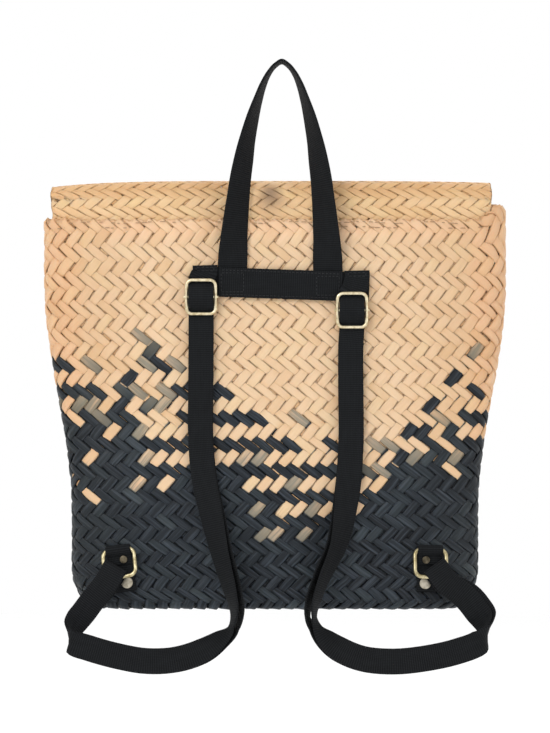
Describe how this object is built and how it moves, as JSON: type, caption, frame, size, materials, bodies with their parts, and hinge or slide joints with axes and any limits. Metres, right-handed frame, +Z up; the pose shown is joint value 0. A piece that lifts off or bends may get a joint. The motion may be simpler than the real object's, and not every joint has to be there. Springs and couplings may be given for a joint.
{
  "type": "woven straw backpack",
  "caption": "Open basket of twill-woven straw strips with a fold-over straw flap, a webbing carry handle and webbing shoulder straps that run through wire sliders and bottom rings.",
  "frame": {"origin": "underside of the carry handle's apex, where a hook or a hand holds the hanging bag", "axes": "+Z up; +X to the right as seen from behind the bag, facing its shoulder straps; -Y out of the back with the straps, +Y towards the flap's front"},
  "size_m": [0.391, 0.1496, 0.5227],
  "materials": {
    "straw": "matt natural straw strips, partly dyed dark",
    "webbing": "matt black woven webbing",
    "slider_metal": "pale antique gold, satin",
    "ring_metal": "polished brass",
    "upper_rivet_metal": "dark antique brass",
    "lower_rivet_metal": "satin grey"
  },
  "bodies": {
    "root": {"woven_body": "straw", "flap": "straw", "cross_band": "webbing", "carry_handle": "webbing", "shoulder_strap_left": "webbing", "shoulder_strap_right": "webbing", "ring_tab_left": "webbing", "ring_tab_right": "webbing", "slider_left": "slider_metal", "slider_right": "slider_metal", "bottom_ring_left": "ring_metal", "bottom_ring_right": "ring_metal", "upper_rivet_left": "upper_rivet_metal", "upper_rivet_right": "upper_rivet_metal", "lower_rivet_left": "lower_rivet_metal", "lower_rivet_right": "lower_rivet_metal"}
  },
  "joints": []
}
